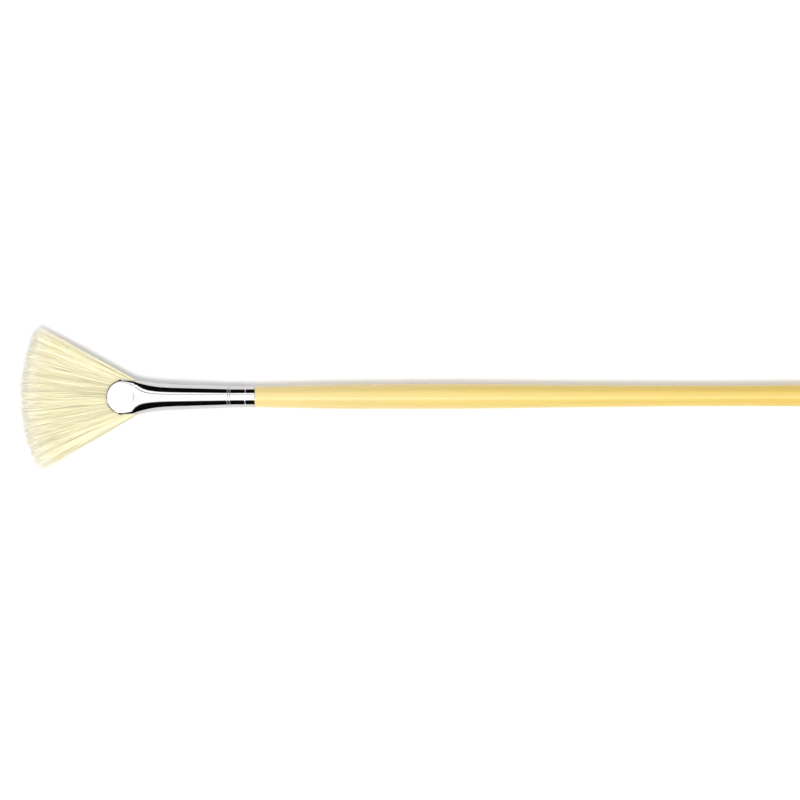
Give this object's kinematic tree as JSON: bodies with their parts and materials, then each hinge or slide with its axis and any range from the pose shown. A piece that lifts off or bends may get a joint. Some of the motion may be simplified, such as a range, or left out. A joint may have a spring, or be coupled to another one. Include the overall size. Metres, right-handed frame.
{
  "type": "fan paint brush",
  "caption": "Long-handled artist's fan brush: turned lacquered wood handle, crimped metal ferrule pressed flat at its mouth, and a flexing fan of hog bristle.",
  "frame": {"origin": "middle of the brush's own box: on the handle's axis, halfway between the bristle tips and the tail", "axes": "+X along the handle's axis from the bristle tips to the tail, +Y across the fan, +Z square to the fan's flat side"},
  "size_m": [0.33, 0.0472, 0.0086],
  "materials": {
    "lacquered_wood": "gloss",
    "nickel_plate": "polished",
    "resin": "gloss",
    "thread": "matte",
    "bristle": "satin"
  },
  "bodies": {
    "brush": {"handle": "lacquered_wood", "ferrule": "nickel_plate", "resin_plug": "resin", "binding_thread": "thread", "bristle_roots": "bristle"},
    "bristle_fan": {"bristle_lock_01": "bristle", "bristle_lock_02": "bristle", "bristle_lock_03": "bristle", "bristle_lock_04": "bristle", "bristle_lock_05": "bristle", "bristle_lock_06": "bristle", "bristle_lock_07": "bristle", "bristle_lock_08": "bristle", "bristle_lock_09": "bristle", "bristle_lock_10": "bristle", "bristle_lock_11": "bristle", "bristle_lock_12": "bristle", "bristle_lock_13": "bristle", "bristle_lock_14": "bristle", "bristle_lock_15": "bristle"}
  },
  "joints": [
    {"name": "bristle_flex", "type": "hinge", "parent": "brush", "child": "bristle_fan", "pos_m": [-0.1412, 0, 0], "axis": [0, 1, 0], "range_deg": [-45, 45], "stiffness_Nm_per_rad": 0.03}
  ]
}
